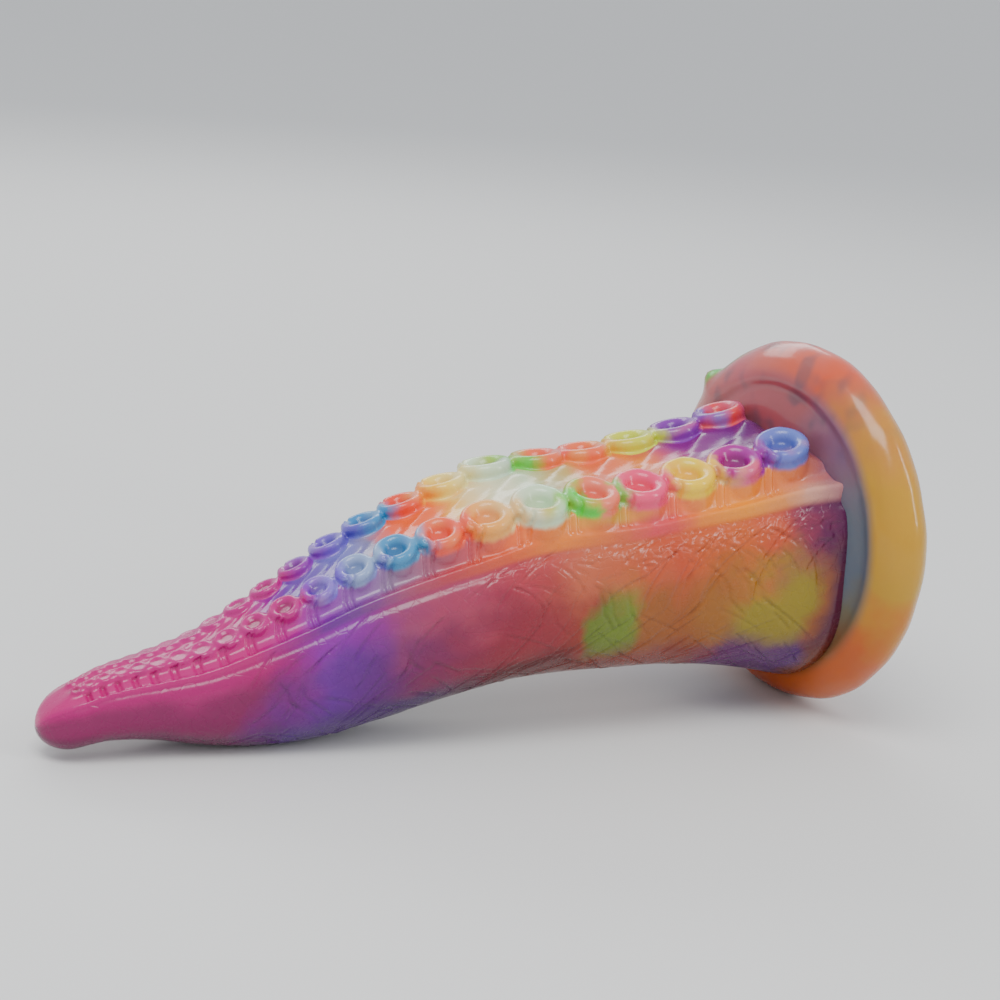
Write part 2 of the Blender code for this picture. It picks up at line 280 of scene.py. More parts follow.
def turned(name, profile, sides):
    """A body turned from (radius, height) points: a ring that is extruded and resized upwards."""
    deselect_all()
    radius, height = profile[0]
    bpy.ops.mesh.primitive_circle_add(
        vertices=sides, radius=radius, location=(0, 0, height), fill_type="NGON")
    item = bpy.context.object
    item.name = name
    bpy.ops.object.transform_apply(location=True, rotation=False, scale=False)
    bpy.ops.object.mode_set(mode="EDIT")
    bpy.ops.mesh.select_all(action="SELECT")
    for following, level in profile[1:]:
        bpy.ops.mesh.extrude_region_move(TRANSFORM_OT_translate={"value": (0, 0, level - height)})
        ratio = max(following, 0.01) / radius
        bpy.ops.transform.resize(value=(ratio, ratio, 1), center_override=(0, 0, level))
        radius, height = max(following, 0.01), level
    bpy.ops.mesh.select_all(action="SELECT")
    bpy.ops.mesh.normals_make_consistent(inside=False)
    bpy.ops.object.mode_set(mode="OBJECT")
    return item


# ---------------------------------------------------------------- the arm's skin

def make_arm_body():
    """A sheet wrapped round the arm's outline, closed at the tip and at the root."""
    deselect_all()
    along_steps, around_steps = 180, 240
    bpy.ops.mesh.primitive_grid_add(x_subdivisions=along_steps, y_subdivisions=around_steps, size=2)
    body = bpy.context.object
    flat = points_of(body)
    from_tip = (1 - flat[:, 0]) / 2
    reach = ARM_LENGTH + 3
    x = TIP_X + reach * from_tip**1.6
    angle = flat[:, 1] * 180
    angle = np.where(angle > 90, angle - 360, angle) + 90
    angle = np.where(angle > 180, angle - 360, angle)
    move_points(body, section_point(x, angle))
    pick(body)
    bpy.ops.object.mode_set(mode="EDIT")
    bpy.ops.mesh.select_all(action="SELECT")
    bpy.ops.mesh.remove_doubles(threshold=0.002)
    bpy.ops.mesh.fill_holes(sides=0)
    bpy.ops.mesh.normals_make_consistent(inside=False)
    bpy.ops.object.mode_set(mode="OBJECT")
    return body


# One sucker at the size of the first pair: stalk, waist, round rim and cup.
SUCKER_PROFILE = [
    (7.0, -9.0), (6.95, -3.0), (6.8, 0.5), (6.6, 2.4), (6.5, 3.6), (6.5, 4.3), (6.65, 4.9), (6.7, 5.5),
    (6.55, 6.3), (6.05, 6.95), (5.35, 7.2), (4.6, 7.1), (3.9, 6.7), (3.4, 6.15), (3.1, 5.5), (2.8, 4.9),
    (2.2, 4.45), (1.2, 4.2), (0, 4.1),
]


def sucker_places():
    """Frame, pitch, pair and side of each sucker, from the boxes of the frame's own suckers."""
    middles = {}
    for pair in range(1, PAIR_COUNT + 1):
        for side in (-1, 1):
            low, high = box_mm(sucker_name(pair, side))
            middles[pair, side] = (low + high) / 2, (high[1] - low[1]) / 2
    places = []
    for (pair, side), (middle, half) in middles.items():
        ahead = middles.get((pair - 1, side), (middle, half))[0]
        behind = middles.get((pair + 1, side), (middle, half))[0]
        along = Vector(ahead - behind)
        along.y = 0
        along.normalize()
        pitch = half / middles[1, side][1] * FIRST_PITCH
        up = Matrix.Rotation(-side * ROW_TILT, 3, along) @ along.cross(Vector((0, 1, 0)))
        sideways = up.cross(along)
        spot = Matrix((along, sideways, up)).transposed().to_4x4()
        sink = SUCKER_SINK + SMALL_SUCKER_SINK * max(pair - LAST_OPEN_PAIR, 0)
        spot.translation = Vector(middle) - up * (min(sink, DEEPEST_SINK) * pitch)
        places.append((spot, pitch, pair, side))
    return places


def make_suckers(places):
    model = turned("sucker_model", SUCKER_PROFILE, 40)
    suckers = []
    for spot, pitch, _, _ in places:
        sucker = model.copy()
        sucker.data = model.data.copy()
        bpy.context.collection.objects.link(sucker)
        size = pitch / FIRST_PITCH
        sucker.data.transform(spot @ Matrix.Diagonal((size, size, size, 1)))
        suckers.append(sucker)
    bpy.data.objects.remove(model)
    return suckers


def draw_line(shift, flat, start, end, width, depth, lip=0.35):
    """Press one crease, with a low lip beside it, into the skin between two flat places.

    A depth below zero raises a fold instead.
    """
    start, end = np.asarray(start, float), np.asarray(end, float)
    run = end - start
    length = np.linalg.norm(run)
    run = run / length
    near = np.flatnonzero(np.all(flat > np.minimum(start, end) - 4 * width, axis=1)
                          & np.all(flat < np.maximum(start, end) + 4 * width, axis=1))
    if len(near) == 0:
        return
    local = flat[near] - start
    along = local @ run
    bow = CREASE_BOW * length * np.sin(np.clip(along / length, 0, 1) * pi)
    off = local @ np.array([-run[1], run[0]]) - bow
    ends = soft_step(along, -width, 0.2 * length) * (1 - soft_step(along, 0.8 * length, length + width))
    cut = -depth * bump(off, 0, width) + lip * depth * bump(off, 2.2 * width, 1.4 * width)
    shift[near] += cut * ends


def press_details(skin, places):
    """Long crossing creases on the flanks, crumpled skin under the ridges, panel seams above them,
    and soft folds across the web between the rows."""
    points = points_of(skin)
    normals = normals_of(skin)
    fold = fold_angle(points)
    half_width = outline(points[:, 0])[2]
    arc = np.radians(fold) * half_width
    shift = np.zeros(len(points))
    chance = np.random.default_rng(7)
    for side in (-1, 1):
        mine = (points[:, 1] * side > 0) & (fold < 41)
        index = np.flatnonzero(mine)
        flat = np.stack([points[index, 0], arc[index]], -1)
        part = np.zeros(len(index))
        for _ in range(CREASE_COUNT):
            x = chance.uniform(-62, FACE_X - 4)
            reach = outline(x)[2]
            v = chance.uniform(-1.15, 0.34 if x < 10 else 0.5) * reach
            length = chance.uniform(7, 22) * (0.6 if x < -20 else 1)
            lean = radians(chance.choice([-1, 1]) * chance.uniform(22, 58))
            end = (x + length * cos(lean), v + length * sin(lean))
            if end[0] > FACE_X - 2:
                continue
            draw_line(part, flat, (x, v), end, chance.uniform(0.26, 0.4),
                      chance.uniform(0.16, 0.36))
        for _ in range(CRUMPLE_COUNT):
            x = FACE_X - 3 - abs(chance.normal(0, 42))
            if x < -10:
                continue
            reach = outline(x)[2]
            v = (0.56 - abs(chance.normal(0, 0.2))) * reach
            length = chance.uniform(2, 5)
            lean = radians(chance.uniform(-85, 85))
            end = (x + length * cos(lean), v + length * sin(lean))
            draw_line(part, flat, (x, v), end, chance.uniform(0.3, 0.45),
                      chance.uniform(0.07, 0.17))
        shift[index] += part
        above = np.flatnonzero((points[:, 1] * side > 0) & (fold >= 49) & (fold < 75))
        flat = np.stack([points[above, 0], fold[above]], -1)
        part = np.zeros(len(above))
        rows = sorted((spot.translation.x, pitch) for spot, pitch, _, row in places if row == side)
        for (x, pitch), (following, _) in zip(rows, rows[1:]):
            middle = (x + following) / 2
            for offset in (-0.08, 0.08):
                place = middle + offset * pitch
                near = np.abs(flat[:, 0] - place) < 2
                part[near] -= 0.6 * bump(flat[near, 0], place, 0.4) * soft_step(flat[near, 1], 49, 52)
        shift[above] += part
    web = np.flatnonzero(fold >= 75)
    flat = points[web, :2]
    part = np.zeros(len(web))
    for spot, pitch, pair, side in places:
        if side > 0 or pair > LAST_WEB_PAIR:
            continue
        x, edge = spot.translation.x, abs(spot.translation.y) - 0.3 * pitch
        draw_line(part, flat, (x, -edge), (x + 1.5 * pitch, edge), 0.17 * pitch, -0.055 * pitch, lip=0)
    shift[web] += part
    move_points(skin, points + normals * shift[:, None])


def store(item, name, values, kind="FLOAT"):
    attribute = item.data.attributes.new(name, kind, "POINT")
    key = "value" if kind == "FLOAT" else "vector"
    attribute.data.foreach_set(key, np.ascontiguousarray(values, np.float32).ravel())


def store_casting_places(skin, places):
    """Where each point lies in the mould, so that the colours stay with the skin as it bends, and where
    shade is painted inside the cups.
    """
    points = points_of(skin)
    fold = fold_angle(points)
    on_sucker = np.zeros(len(points))
    cup_shade_mask = np.zeros(len(points))
    for spot, pitch, _, _ in places:
        to_spot = np.array(spot.inverted())
        near = np.flatnonzero(np.linalg.norm(points - np.array(spot.translation), axis=1) < pitch)
        local = points[near] @ to_spot[:3, :3].T + to_spot[:3, 3]
        radius = np.linalg.norm(local[:, :2], axis=1) / pitch
        height = local[:, 2] / pitch
        mask = (1 - soft_step(radius, 0.54, 0.60)) * soft_step(height, 0.08, 0.40)
        on_sucker[near] = np.maximum(on_sucker[near], mask)
        # The hollow inside each cup: the mask where the material paints shade.
        inside = (1 - soft_step(radius, 0.2, 0.28)) * (1 - soft_step(height, 0.42, 0.54)) * (height > 0.1)
        cup_shade_mask[near] = np.maximum(cup_shade_mask[near], inside)
    store(skin, "along", (points[:, 0] - TIP_X) / ARM_LENGTH)
    store(skin, "around", fold / 90)
    store(skin, "side", points[:, 1] / np.maximum(outline(points[:, 0])[2], 1))
    store(skin, "on_sucker", on_sucker)
    store(skin, "cup_shade_mask", cup_shade_mask)
    store(skin, "cast_place", points, "FLOAT_VECTOR")


def make_skin(places):
    parts = [make_arm_body()] + make_suckers(places)
    skin = join("arm_skin", parts)
    remesh = skin.modifiers.new("casting", "REMESH")
    remesh.mode = "VOXEL"
    remesh.voxel_size = SKIN_VOXEL
    smooth = skin.modifiers.new("soft_corners", "SMOOTH")
    smooth.factor = 0.5
    smooth.iterations = 7
    finish_modifiers(skin)
    press_details(skin, places)
    store_casting_places(skin, places)
    return skin


def split_skin(skin, name, low_x, high_x, material):
    """One stretch of the skin, closed at its cuts, that keeps the whole skin's smooth shading."""
    piece = skin.copy()
    piece.data = skin.data.copy()
    piece.name = name
    bpy.context.collection.objects.link(piece)
    pick(piece)
    bpy.ops.object.mode_set(mode="EDIT")
    for x, outer in ((low_x, False), (high_x, True)):
        if x is None:
            continue
        bpy.ops.mesh.select_all(action="SELECT")
        bpy.ops.mesh.bisect(plane_co=(x, 0, 0), plane_no=(1, 0, 0), use_fill=True,
                            clear_inner=not outer, clear_outer=outer, threshold=0.00001)
    bpy.ops.object.mode_set(mode="OBJECT")
    piece.data.materials.clear()
    piece.data.materials.append(material)
    return piece


def keep_shading(piece, tree, whole_normals, cuts):
    """Smooth normals of the whole skin at the cut edges, so that no seam shows."""
    points = points_of(piece)
    normals = normals_of(piece)
    for cut in cuts:
        for i in np.flatnonzero(np.abs(points[:, 0] - cut) < 0.001):
            found = tree.find_n(points[i], 3)
            weight = np.array([1 / (distance + 0.01) for _, _, distance in found])
            blended = sum(whole_normals[j] * w for (_, j, _), w in zip(found, weight))
            normals[i] = blended / np.linalg.norm(blended)
    piece.data.normals_split_custom_set_from_vertices([tuple(n) for n in normals])


# ---------------------------------------------------------------- the suction base

# Half section of the flange from the shaft outwards, over the rim and into the cup.
FLANGE_PROFILE = [
    (18, -8.6), (25, -8.6), (28.5, -8.35), (31.0, -7.85), (32.8, -7.4), (34.0, -7.2), (34.9, -7.3),
    (35.6, -7.6), (36.4, -7.75), (37.2, -7.6), (38.2, -7.35), (39.4, -6.95), (40.6, -6.4), (41.8, -5.7),
    (43.0, -4.6), (44.0, -3.2), (44.7, -1.6), (45.0, 0.0), (44.7, 1.5), (44.0, 3.0), (42.9, 4.3),
    (41.5, 5.4), (39.8, 6.2), (38.2, 6.5), (36.0, 6.5), (33.0, 6.5), (32.1, 6.1), (31.2, 5.0),
    (29.0, 2.4), (26.5, -0.3), (25.0, -1.2), (22.0, -1.5), (12, -1.5), (0, -1.5),
]


def flange_matrix():
    turn = Matrix.Rotation(FLANGE_TURN, 4, "Z") @ Matrix.Rotation(pi / 2 - FLANGE_LEAN, 4, "Y")
    return Matrix.Translation((FLANGE_X, 0, FLANGE_Z)) @ turn


def make_flange(material):
    flange = turned("suction_base_casting", FLANGE_PROFILE, 160)
    flange.data.transform(flange_matrix())
    pick(flange)
    subdivide = flange.modifiers.new("round", "SUBSURF")
    subdivide.levels = subdivide.render_levels = 1
    finish_modifiers(flange)
    points = points_of(flange)
    normals = normals_of(flange)
    shift = np.zeros(len(points))
    nub = np.array([FACE_X, FLANGE_RADIUS * cos(NUB_ANGLE), FLANGE_Z + FLANGE_RADIUS * sin(NUB_ANGLE)])
    shift += NUB_RISE * np.exp(-(np.linalg.norm(points - nub, axis=1) / NUB_RADIUS) ** 2)
    turn = np.arctan2(points[:, 2] - FLANGE_Z, -points[:, 1])
    rim = soft_step(np.hypot(points[:, 1], points[:, 2] - FLANGE_Z), 33, 40)
    shift += rim * (0.16 * np.sin(5 * turn + 0.6) + 0.10 * np.sin(11 * turn) + 0.05 * np.sin(23 * turn + 2))
    points = points + normals * shift[:, None]
    points[:, 2] = np.maximum(points[:, 2], 0)
    move_points(flange, points)
    store(flange, "cast_place", points, "FLOAT_VECTOR")
    store(flange, "turn", turn / (2 * pi) + 0.5)
    store(flange, "radius", np.hypot(points[:, 1], points[:, 2] - FLANGE_Z) / FLANGE_RADIUS)
    flange.data.materials.clear()
    flange.data.materials.append(material)
    return flange


# ---------------------------------------------------------------- materials

def hex_colour(text):
    """Linear colour from an sRGB hex value."""
    values = [int(text[i:i + 2], 16) / 255 for i in (0, 2, 4)]
    linear = [v / 12.92 if v <= 0.04045 else ((v + 0.055) / 1.055) ** 2.4 for v in values]
    return (*linear, 1)


# Dyed silicone is deeper than its swatch, because light goes a little way in.
DYE_DEPTH = 1.55


def dye(text):
    return (*(v**DYE_DEPTH for v in hex_colour(text)[:3]), 1)


def add(tree, kind, inputs, output=0, stops=(), **settings):
    """Add a node with its settings, inputs and colour stops, and give one of its outputs."""
    node = tree.nodes.new(kind)
    for key, value in settings.items():
        setattr(node, key, value)
    for key, value in inputs.items():
        if isinstance(value, bpy.types.NodeSocket):
            tree.links.new(value, node.inputs[key])
        else:
            node.inputs[key].default_value = value
    if stops:
        band = node.color_ramp
        band.elements.remove(band.elements[-1])
        band.elements[0].position = stops[0][0]
        band.elements[0].color = dye(stops[0][1])
        for place, colour in stops[1:]:
            band.elements.new(place).color = dye(colour)
    return node.outputs[output] if node.outputs else None


MATHS = "ShaderNodeMath"
RANGE = "ShaderNodeMapRange"
MIX = "ShaderNodeMix"
RAMP = "ShaderNodeValToRGB"
NOISE = "ShaderNodeTexNoise"
ATTRIBUTE = "ShaderNodeAttribute"
SHADER = "ShaderNodeBsdfPrincipled"
OUTPUT = "ShaderNodeOutputMaterial"
SOFT = {"interpolation_type": "SMOOTHSTEP"}
COLOURS = {"data_type": "RGBA", "output": 2}


def share_at(x):
    return min(max((x - TIP_X) / ARM_LENGTH, 0), 1)


def stops_at(*pairs):
    return [(share_at(x), colour) for x, colour in pairs]


UPPER_FLANK = stops_at(
    (-99, "bc1888"), (-56, "bc1888"), (-49, "a82090"), (-40, "a034b0"), (-30, "a040a0"), (-22, "ac5c84"),
    (-12, "b85c78"), (3, "c05a66"), (18, "cc8060"), (30, "cc7a54"), (42, "cc6c46"), (56, "d07c40"),
    (66, "cc704c"), (74, "a85468"), (80, "84366c"), (85, "6a2e68"))
LOWER_FLANK = stops_at(
    (-99, "a41078"), (-58, "9c1074"), (-50, "8c1490"), (-40, "8020a0"), (-28, "80248c"), (-20, "8c3078"),
    (-10, "9c3464"), (0, "a43856"), (10, "a84650"), (20, "a85440"), (24, "849034"), (31, "8a9a38"),
    (35, "ac7634"), (46, "ac7028"), (56, "b08228"), (62, "a89822"), (74, "a89822"), (79, "a8703c"),
    (85, "7c3a5c"))
BELLY = stops_at(
    (-99, "90106c"), (-58, "841068"), (-46, "6c148c"), (-16, "601474"), (-4, "741a40"), (16, "84342a"),
    (36, "9c4a1c"), (52, "9a4420"), (60, "801a78"), (78, "701a84"), (85, "8a4a1c"))
RIDGE = stops_at(
    (-99, "c82090"), (-56, "c82290"), (-47, "ac309c"), (-40, "8c38a4"), (-33, "9058a0"), (-24, "b46c8c"),
    (-14, "c8606c"), (0, "e07c50"), (12, "ec9c48"), (20, "e49450"), (29, "dc8060"), (36, "e06470"),
    (42, "e06c68"), (49, "eca040"), (60, "f0ac30"), (69, "e8a868"), (76, "dcb0a0"), (85, "c8989c"))
BED = stops_at(
    (-99, "cc2490"), (-56, "cc2694"), (-48, "c43ca0"), (-41, "a854b8"), (-33, "a878b8"), (-26, "a890ac"),
    (-17, "b87c90"), (-9, "cc7078"), (0, "ec8858"), (10, "f0a058"), (18, "e4ac58"), (27, "dcb458"),
    (33, "e89c60"), (40, "e88068"), (50, "f0a850"), (62, "eca048"), (72, "e09460"), (80, "cc8c88"),
    (85, "a87890"))
WEB = stops_at(
    (-99, "cc2490"), (-54, "c82494"), (-43, "9040b4"), (-33, "9090c8"), (-26, "a8a0b8"), (-20, "f07a4a"),
    (-11, "f08a48"), (-5, "f0cc80"), (4, "e4e0c4"), (14, "d0dcc0"), (23, "d0b870"), (31, "e88a60"),
    (42, "e8904c"), (50, "d05a80"), (58, "a03a98"), (70, "8a3c94"), (80, "8c5490"), (85, "a86a80"))
LEFT_SUCKERS = stops_at(
    (-99, "cc2490"), (-45, "c83098"), (-42, "9058cc"), (-37, "8c6cd0"), (-34, "a8b4d4"), (-28, "a8bcd4"),
    (-26, "68a8cc"), (-19, "68a8c8"), (-16, "f07868"), (-9, "f07c5c"), (-6, "f4bc74"), (2, "ecd09c"),
    (5, "dce4cc"), (12, "d4e8cc"), (16, "74dc64"), (20, "78dc60"), (22, "f09880"), (26, "f09480"),
    (28, "90d070"), (31, "f07094"), (40, "ec5c90"), (44, "f4d840"), (53, "f4d030"), (56, "c43ca0"),
    (66, "b044ac"), (69, "8c90d0"), (76, "8494d0"), (80, "948cc8"))
RIGHT_SUCKERS = stops_at(
    (-99, "cc2490"), (-45, "c8349c"), (-42, "b440b0"), (-37, "a050c0"), (-34, "9470cc"), (-28, "9088d0"),
    (-26, "58a0cc"), (-19, "58a4cc"), (-16, "ec6450"), (-11, "f07850"), (-8, "f4c44c"), (-5, "f4dc80"),
    (2, "ece0a8"), (5, "dce8cc"), (12, "ccdcc8"), (15, "78dc68"), (18, "94cc60"), (22, "f08c60"),
    (28, "ec7464"), (31, "f08068"), (37, "f0905c"), (40, "e8bc50"), (44, "dcdc54"), (53, "d4dc58"),
    (56, "a450b8"), (66, "9c4cb8"), (69, "a088c8"), (73, "e86060"), (80, "c080b0"))
SUCKER_MARBLE = stops_at(
    (-99, "c02088"), (-48, "c8349a"), (-38, "b0a8dc"), (-28, "7a68c4"), (-20, "88b8d4"), (-16, "f08868"),
    (-8, "f4b45c"), (4, "ecc47c"), (14, "90d870"), (22, "f09060"), (32, "f0a868"), (42, "ec7c70"),
    (50, "e8e050"), (60, "e07ca0"), (68, "e87c70"), (76, "d0a0b0"), (85, "7c90cc"))


# Colours round the flange, by its turn: 0.25 at the foot, 0.5 on the near side, 0.75 at the top.
FLANGE_RIM = [
    (0.00, "c08070"), (0.07, "c08070"), (0.14, "c47428"), (0.25, "cc741c"), (0.33, "cc7c24"),
    (0.40, "d08038"), (0.47, "ccac40"), (0.58, "d0ac40"), (0.64, "d0a058"), (0.68, "d08868"),
    (0.72, "dc7c58"), (0.77, "d8887c"), (0.85, "cc7c84"), (0.93, "c08070"), (1.00, "c08070")]
FLANGE_TROUGH = [
    (0.00, "b07c74"), (0.07, "b07c74"), (0.20, "a06a50"), (0.36, "a87844"), (0.43, "908c7c"),
    (0.48, "848c98"), (0.56, "889098"), (0.63, "a08498"), (0.72, "bc7c80"), (0.85, "c47c84"),
    (0.93, "b07c74"), (1.00, "b07c74")]
FAR_EDGE_GREEN = "60cc54"
CLEAR_SPOT_GREY = "6c7480"

# Scales of the patterns, per millimetre: swirls of poured colour about 13 mm across, marbling of
# 3 mm and blots of 9 mm. Pores and fine lines are drawn coarser than they are, so that they show.
SWIRL_SCALE = 0.075
MARBLING_SCALE = 0.32
BLOT_SCALE = 0.11
PORE_SCALE = 1.4
FINE_LINE_SCALE = 0.28
FLANGE_SWIRL_SCALE = 0.06
FLANGE_SPOT_SCALE = 0.14
FLANGE_FLOW_SCALE = 0.5

# Cast silicone is glossy, with a wet-looking top.
SILICONE = {"IOR": 1.41, "Coat Weight": 0.35, "Coat Roughness": 0.12, "Coat IOR": 1.41}


def new_material(name):
    """A material, and a short way to add nodes to it."""
    material = bpy.data.materials.new(name)
    material.use_nodes = True
    material.node_tree.nodes.clear()
    return material, partial(add, material.node_tree)


def marbled_silicone():
    """Platinum-cure silicone poured in many colours that bleed into each other, with painted shade inside
    the cups.
    """
    material, node = new_material("marbled_cast_silicone")
    place = node(ATTRIBUTE, {}, "Vector", attribute_name="cast_place")
    along = node(ATTRIBUTE, {}, "Fac", attribute_name="along")
    around = node(ATTRIBUTE, {}, "Fac", attribute_name="around")
    side = node(ATTRIBUTE, {}, "Fac", attribute_name="side")
    on_sucker = node(ATTRIBUTE, {}, "Fac", attribute_name="on_sucker")
    cup_shade_mask = node(ATTRIBUTE, {}, "Fac", attribute_name="cup_shade_mask")

    swirl = node(NOISE, {"Vector": place, "Scale": SWIRL_SCALE, "Detail": 3.0}, "Color")
    swirl_along = node("ShaderNodeSeparateColor", {0: swirl})
    swirl_around = swirl_along.node.outputs[1]
    marbling = node(NOISE, {"Vector": place, "Scale": MARBLING_SCALE, "Detail": 4.0, "Roughness": 0.55})
    wide_shift = node(MATHS, {0: swirl_along, 1: 0.5}, operation="SUBTRACT")
    drift = node(MATHS, {0: wide_shift, 1: 0.11, 2: along}, operation="MULTIPLY_ADD")
    narrow_shift = node(MATHS, {0: marbling, 1: 0.5}, operation="SUBTRACT")
    small_drift = node(MATHS, {0: narrow_shift, 1: 0.03, 2: along}, operation="MULTIPLY_ADD")
    tall_shift = node(MATHS, {0: swirl_around, 1: 0.5}, operation="SUBTRACT")
    height = node(MATHS, {0: tall_shift, 1: 0.5, 2: around}, operation="MULTIPLY_ADD")

    upper = node(RAMP, {0: drift}, stops=UPPER_FLANK)
    lower = node(RAMP, {0: drift}, stops=LOWER_FLANK)
    belly = node(RAMP, {0: drift}, stops=BELLY)
    ridge = node(RAMP, {0: small_drift}, stops=RIDGE)
    columns = node(RAMP, {0: small_drift}, stops=BED)
    web = node(RAMP, {0: drift}, stops=WEB)
    is_upper = node(RANGE, {0: height, 1: -0.04, 2: 0.24}, **SOFT)
    flank = node(MIX, {0: is_upper, 6: lower, 7: upper}, **COLOURS)
    off_belly = node(RANGE, {0: height, 1: -0.42, 2: -0.16}, **SOFT)
    flank = node(MIX, {0: off_belly, 6: belly, 7: flank}, **COLOURS)
    on_ridge = node(RANGE, {0: around, 1: 0.40, 2: 0.47}, **SOFT)
    colour = node(MIX, {0: on_ridge, 6: flank, 7: ridge}, **COLOURS)
    from_middle = node(MATHS, {0: side}, operation="ABSOLUTE")
    on_columns = node(RANGE, {0: from_middle, 1: 0.32, 2: 0.60}, **SOFT)
    bed = node(MIX, {0: on_columns, 6: web, 7: columns}, **COLOURS)
    on_bed = node(RANGE, {0: around, 1: 0.56, 2: 0.64}, **SOFT)
    colour = node(MIX, {0: on_bed, 6: colour, 7: bed}, **COLOURS)

    left = node(RAMP, {0: small_drift}, stops=LEFT_SUCKERS)
    right = node(RAMP, {0: small_drift}, stops=RIGHT_SUCKERS)
    is_right = node(RANGE, {0: side, 1: -0.05, 2: 0.05}, **SOFT)
    sucker = node(MIX, {0: is_right, 6: left, 7: right}, **COLOURS)
    marble = node(RAMP, {0: small_drift}, stops=SUCKER_MARBLE)
    blot = node(NOISE, {"Vector": place, "Scale": BLOT_SCALE, "Detail": 1.0, "Roughness": 0.4})
    in_blot = node(RANGE, {0: blot, 1: 0.50, 2: 0.70}, **SOFT)
    sucker = node(MIX, {0: in_blot, 6: sucker, 7: marble}, **COLOURS)
    edge = node(MATHS, {0: narrow_shift, 1: 0.5, 2: on_sucker}, operation="MULTIPLY_ADD")
    past_edge = node(RANGE, {0: edge, 1: 0.15, 2: 0.75}, **SOFT)
    colour = node(MIX, {0: past_edge, 6: colour, 7: sucker}, **COLOURS)
    # Painted shade: inside each cup the colour is multiplied into itself, darker where shade falls in the
    # hollow.
    painted_cup_shade = node(MIX, {0: 0.55, 6: colour, 7: sucker}, blend_type="MULTIPLY", **COLOURS)
    colour = node(MIX, {0: cup_shade_mask, 6: colour, 7: painted_cup_shade}, **COLOURS)

    pores = node(NOISE, {"Vector": place, "Scale": PORE_SCALE, "Detail": 3.0, "Roughness": 0.6})
    to_line = node("ShaderNodeTexVoronoi", {"Vector": place, "Scale": FINE_LINE_SCALE},
                   feature="DISTANCE_TO_EDGE")
    past_flank = node(RANGE, {0: around, 1: 0.40, 2: 0.50}, **SOFT)
    on_flank = node(MATHS, {0: 1.0, 1: past_flank}, operation="SUBTRACT")
    off_line = node(RANGE, {0: to_line, 1: 0.0, 2: 0.06}, **SOFT)
    lines = node(MATHS, {0: off_line, 1: on_flank}, operation="MULTIPLY")
    low_lines = node(MATHS, {0: lines, 1: 0.35}, operation="MULTIPLY")
    texture = node(MATHS, {0: pores, 1: 0.10, 2: low_lines}, operation="MULTIPLY_ADD")
    relief = node("ShaderNodeBump", {"Height": texture, "Strength": 0.35, "Distance": 0.0004})
    rough = node(RANGE, {0: marbling, 1: 0.3, 2: 0.7, 3: 0.20, 4: 0.32}, **SOFT)
    surface = node(SHADER, {"Base Color": colour, "Roughness": rough, "Normal": relief, **SILICONE})
    node(OUTPUT, {"Surface": surface})
    return material


def clear_silicone():
    """The base's softer, clearer silicone: thin washes of colour under a glossy, see-through skin."""
    material, node = new_material("clear_tinted_silicone")
    place = node(ATTRIBUTE, {}, "Vector", attribute_name="cast_place")
    turn = node(ATTRIBUTE, {}, "Fac", attribute_name="turn")
    radius = node(ATTRIBUTE, {}, "Fac", attribute_name="radius")

    swirl = node(NOISE, {"Vector": place, "Scale": FLANGE_SWIRL_SCALE, "Detail": 3.0})
    shift = node(MATHS, {0: swirl, 1: 0.5}, operation="SUBTRACT")
    drift = node(MATHS, {0: shift, 1: 0.14, 2: turn}, operation="MULTIPLY_ADD")
    rim = node(RAMP, {0: drift}, stops=FLANGE_RIM)
    trough = node(RAMP, {0: drift}, stops=FLANGE_TROUGH)
    on_rim = node(RANGE, {0: radius, 1: 0.80, 2: 0.88}, **SOFT)
    colour = node(MIX, {0: on_rim, 6: trough, 7: rim}, **COLOURS)

    past_top = node(RANGE, {0: drift, 1: 0.82, 2: 0.86}, **SOFT)
    before_foot = node(RANGE, {0: drift, 1: 0.93, 2: 0.90}, **SOFT)
    far_side = node(MATHS, {0: past_top, 1: before_foot}, operation="MULTIPLY")
    at_edge = node(RANGE, {0: radius, 1: 0.93, 2: 1.0}, **SOFT)
    far_edge = node(MATHS, {0: far_side, 1: at_edge}, operation="MULTIPLY")
    colour = node(MIX, {0: far_edge, 6: colour, 7: dye(FAR_EDGE_GREEN)}, **COLOURS)

    spots = node(NOISE, {"Vector": place, "Scale": FLANGE_SPOT_SCALE, "Detail": 1.0})
    in_spot = node(RANGE, {0: spots, 1: 0.50, 2: 0.72, 4: 0.5}, **SOFT)
    above = node(RANGE, {0: turn, 1: 0.60, 2: 0.68}, **SOFT)
    ahead = node(RANGE, {0: turn, 1: 0.94, 2: 0.86}, **SOFT)
    upper_part = node(MATHS, {0: above, 1: ahead}, operation="MULTIPLY")
    grey = node(MATHS, {0: in_spot, 1: upper_part}, operation="MULTIPLY")
    colour = node(MIX, {0: grey, 6: colour, 7: dye(CLEAR_SPOT_GREY)}, **COLOURS)

    flow = node(NOISE, {"Vector": place, "Scale": FLANGE_FLOW_SCALE, "Detail": 3.0})
    relief = node("ShaderNodeBump", {"Height": flow, "Strength": 0.12, "Distance": 0.0005})
    rough = node(RANGE, {0: flow, 1: 0.3, 2: 0.7, 3: 0.16, 4: 0.26}, **SOFT)
    surface = node(SHADER, {
        "Base Color": colour, "Roughness": rough, "Normal": relief, "Subsurface Weight": 0.6,
        "Subsurface Radius": (1.0, 0.6, 0.4), "Subsurface Scale": 0.004, **SILICONE})
    node(OUTPUT, {"Surface": surface})
    return material


def floor_material():
    """Matt white studio paper."""
    material, node = new_material("studio_paper")
    surface = node(SHADER, {"Base Color": hex_colour("d9d9d6"), "Roughness": 0.85})
    node(OUTPUT, {"Surface": surface})
    return material


# ---------------------------------------------------------------- assembly

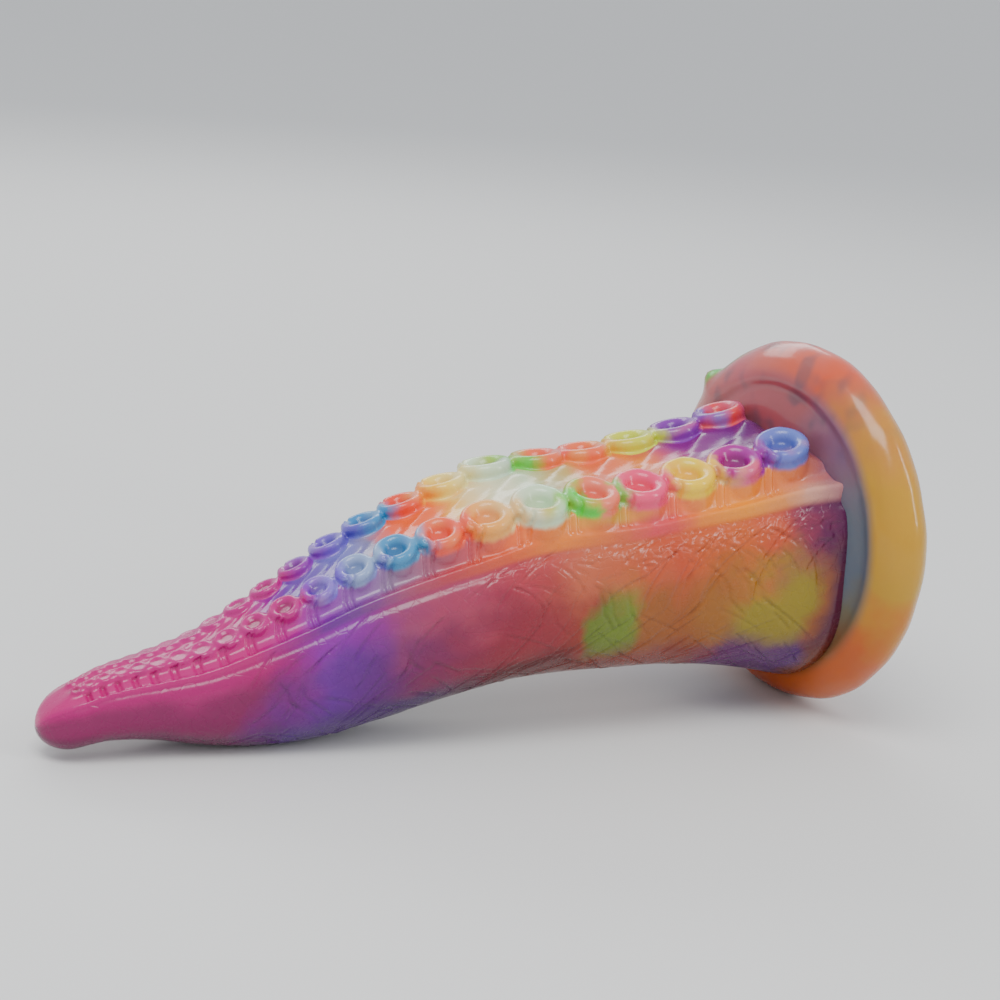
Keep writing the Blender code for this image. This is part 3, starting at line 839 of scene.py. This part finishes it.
MIDDLE_NODES = ["arm_middle_flex", "arm_middle"]
TIP_NODES = ["arm_fore", "arm_wrist", "tip_flex", "tip"]


def pair_nodes(first, last):
    return [sucker_name(pair, side) for pair in range(first, last + 1) for side in (-1, 1)]


def to_metres(item):
    item.data.transform(Matrix.Scale(MM, 4))


def build_arm():
    places = sucker_places()
    skin = make_skin(places)
    material = marbled_silicone()
    shoulder_cut = (box_mm("arm_root_flex")[0][0] + box_mm("arm_root")[1][0]) / 2
    root_cut = (box_mm("arm_root")[0][0] + box_mm("arm_middle_flex")[1][0]) / 2
    middle_cut = (box_mm("arm_middle")[0][0] + box_mm("arm_fore")[1][0]) / 2
    pieces = [
        split_skin(skin, "arm_root_skin", shoulder_cut, None, material),
        split_skin(skin, "arm_shoulder_skin", root_cut, shoulder_cut, material),
        split_skin(skin, "arm_middle_skin", middle_cut, root_cut, material),
        split_skin(skin, "arm_tip_skin", None, middle_cut, material),
    ]
    whole = points_of(skin)
    tree = KDTree(len(whole))
    for i, point in enumerate(whole):
        tree.insert(point, i)
    tree.balance()
    whole_normals = normals_of(skin)
    for piece in pieces:
        keep_shading(piece, tree, whole_normals, (shoulder_cut, root_cut, middle_cut))
        to_metres(piece)
    bpy.data.objects.remove(skin)
    root, shoulder, middle, tip = pieces
    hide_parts("arm_root_flex", *pair_nodes(1, 2))
    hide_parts("arm_root", *pair_nodes(3, 4))
    for piece in (root, shoulder):
        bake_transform(piece)
    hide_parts(*MIDDLE_NODES, *pair_nodes(5, 8))
    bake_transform(middle)
    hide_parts(*TIP_NODES, *pair_nodes(9, PAIR_COUNT))
    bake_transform(tip)


def build_base():
    flange = make_flange(clear_silicone())
    to_metres(flange)
    pick(flange)
    bpy.ops.object.shade_smooth_by_angle(angle=radians(60))
    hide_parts("suction_base")
    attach(flange, "base")


def build_stage():
    deselect_all()
    bpy.ops.mesh.primitive_plane_add(size=40, location=(0, 0, -0.0002))
    floor = bpy.context.object
    floor.name = "studio_floor"
    floor.data.materials.append(floor_material())


def add_light(name, place, target, size, energy, colour=(1, 1, 1)):
    data = bpy.data.lights.new(name, "AREA")
    data.shape = "RECTANGLE"
    data.size, data.size_y = size
    data.energy = energy
    data.color = colour
    lamp = bpy.data.objects.new(name, data)
    bpy.context.collection.objects.link(lamp)
    lamp.location = place
    lamp.rotation_euler = (Vector(target) - Vector(place)).to_track_quat("-Z", "Y").to_euler()


def build_lights():
    world = bpy.data.worlds.new("studio")
    world.use_nodes = True
    world.node_tree.nodes["Background"].inputs[0].default_value = (0.9, 0.93, 1.0, 1)
    world.node_tree.nodes["Background"].inputs[1].default_value = 0.95
    bpy.context.scene.world = world
    middle = (0.01, 0, 0.03)
    add_light("key_softbox", (-0.25, -0.25, 0.75), middle, (0.5, 0.35), 4.5)
    add_light("strip_softbox", (0.55, -0.65, 0.55), middle, (0.12, 0.6), 2.5)
    add_light("back_softbox", (0.1, 0.7, 0.5), middle, (0.8, 0.25), 2.5)


def build_camera():
    azimuth, elevation, roll = radians(-28.9), radians(17.1), radians(6.6)
    distance = 0.4755
    target = Vector((0.0059, 0, 0.0534))
    back = Vector((sin(azimuth) * cos(elevation), -cos(azimuth) * cos(elevation), sin(elevation)))
    data = bpy.data.cameras.new("camera")
    data.sensor_width = 36
    data.lens = 36 * 2.064
    camera = bpy.data.objects.new("camera", data)
    bpy.context.collection.objects.link(camera)
    camera.matrix_world = (Matrix.Translation(target + back * distance)
                           @ back.to_track_quat("Z", "Y").to_matrix().to_4x4()
                           @ Matrix.Rotation(roll, 4, "Z"))
    bpy.context.scene.camera = camera


build_camera()
build_arm()
build_base()
build_stage()
build_lights()
